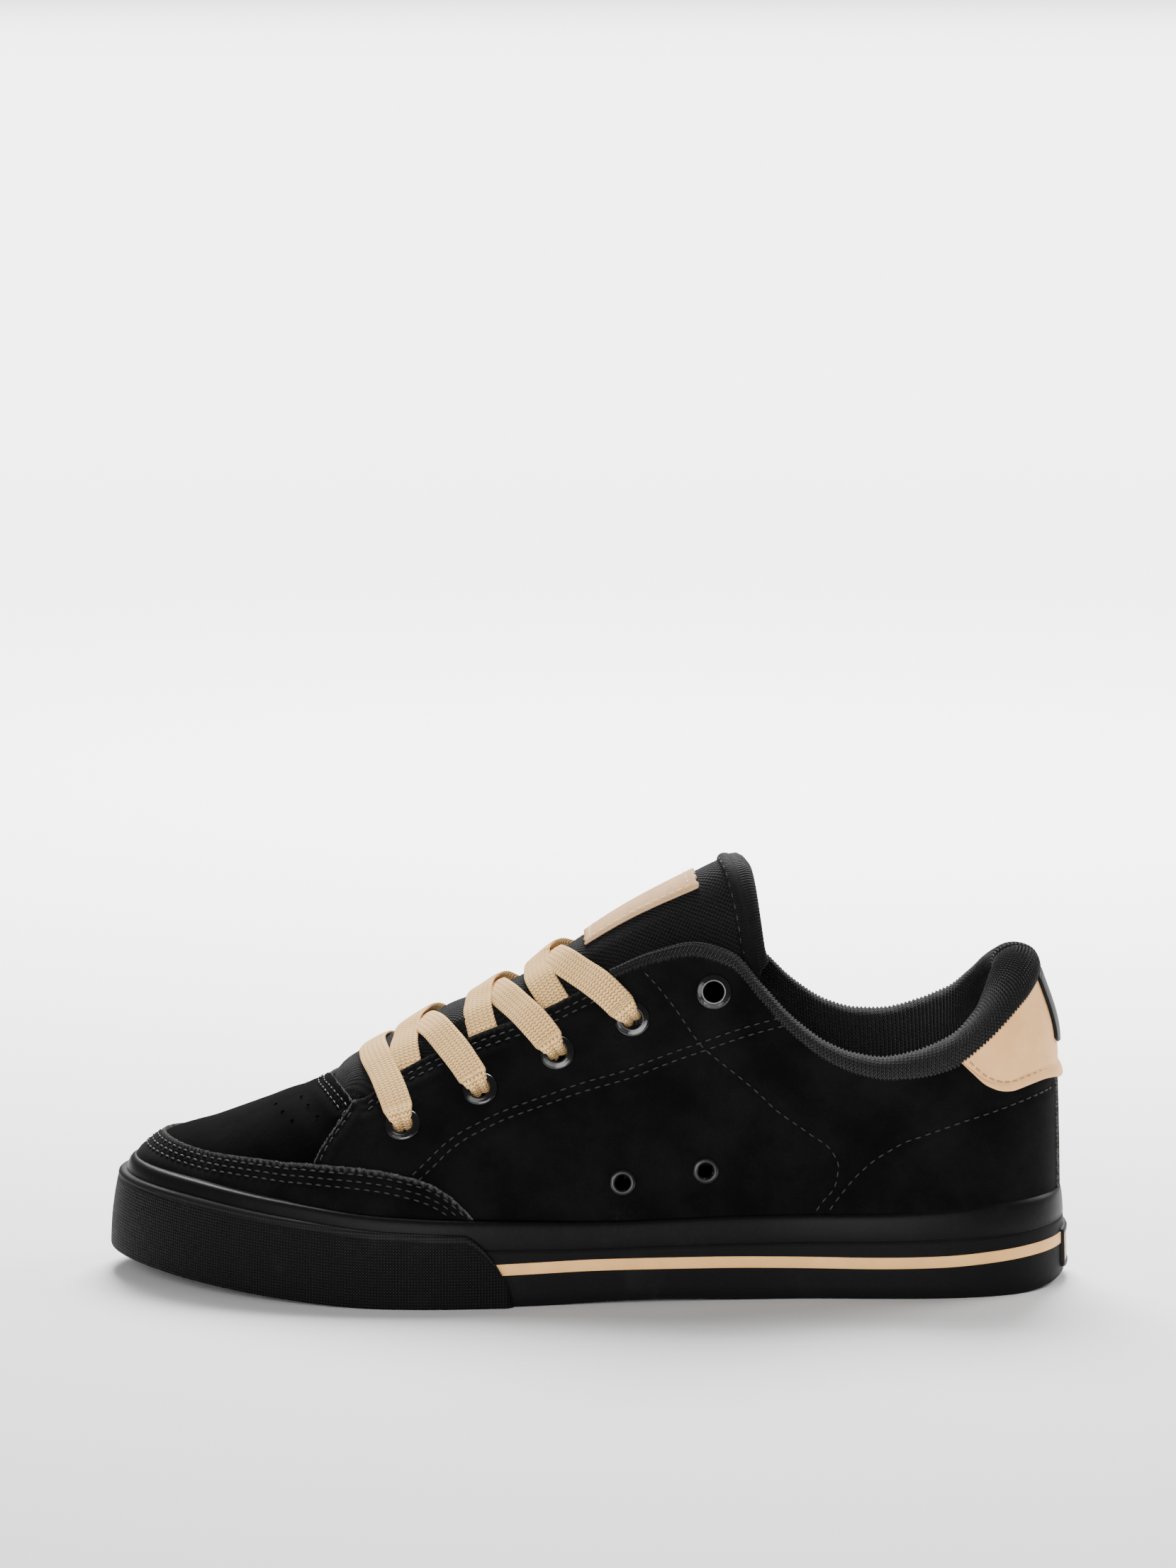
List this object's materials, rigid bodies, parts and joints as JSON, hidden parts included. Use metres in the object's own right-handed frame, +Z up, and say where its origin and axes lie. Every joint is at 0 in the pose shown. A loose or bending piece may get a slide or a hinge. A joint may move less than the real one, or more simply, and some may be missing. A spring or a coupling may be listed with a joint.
{
  "type": "skateboarding shoe",
  "caption": "Low black suede skateboarding shoe with a padded knit collar, flat laces, a rubber toe bumper and a flat rubber cup sole, standing empty.",
  "frame": {"origin": "on the floor under the middle of the shoe's box", "axes": "+X to the toe, +Y to the outer side of the foot, +Z up"},
  "size_m": [0.3, 0.1121, 0.1317],
  "materials": {
    "rubber_black": "smooth satin on the foxing, matte and textured on the toe bumper and tread",
    "nubuck_black": "matte buffed nap with sewn panels and small holes over the toes",
    "knit_black": "ribbed knit over soft padding",
    "canvas_black": "coarse basket weave with a bound edge",
    "lace_beige": "flat woven lace",
    "enamel_black": "glossy enamelled eyelets, duller vents",
    "plate_beige": "plain satin face, no lettering",
    "insole_black": "plain fabric over foam"
  },
  "bodies": {
    "root": {"outsole": "rubber_black", "foxing": "rubber_black", "toe_bumper": "rubber_black", "heel_plate": "plate_beige", "insole": "insole_black", "upper": "nubuck_black", "collar": "knit_black", "tongue": "canvas_black", "lace_bar": "lace_beige", "lace_crossing_1": "lace_beige", "lace_crossing_2": "lace_beige", "lace_crossing_3": "lace_beige", "eyelet_inner_1": "enamel_black", "eyelet_inner_2": "enamel_black", "eyelet_inner_3": "enamel_black", "eyelet_inner_4": "enamel_black", "eyelet_inner_5": "enamel_black", "eyelet_outer_1": "enamel_black", "eyelet_outer_2": "enamel_black", "eyelet_outer_3": "enamel_black", "eyelet_outer_4": "enamel_black", "eyelet_outer_5": "enamel_black", "vent_inner_1": "enamel_black", "vent_inner_2": "enamel_black", "vent_outer_1": "enamel_black", "vent_outer_2": "enamel_black"}
  },
  "joints": []
}
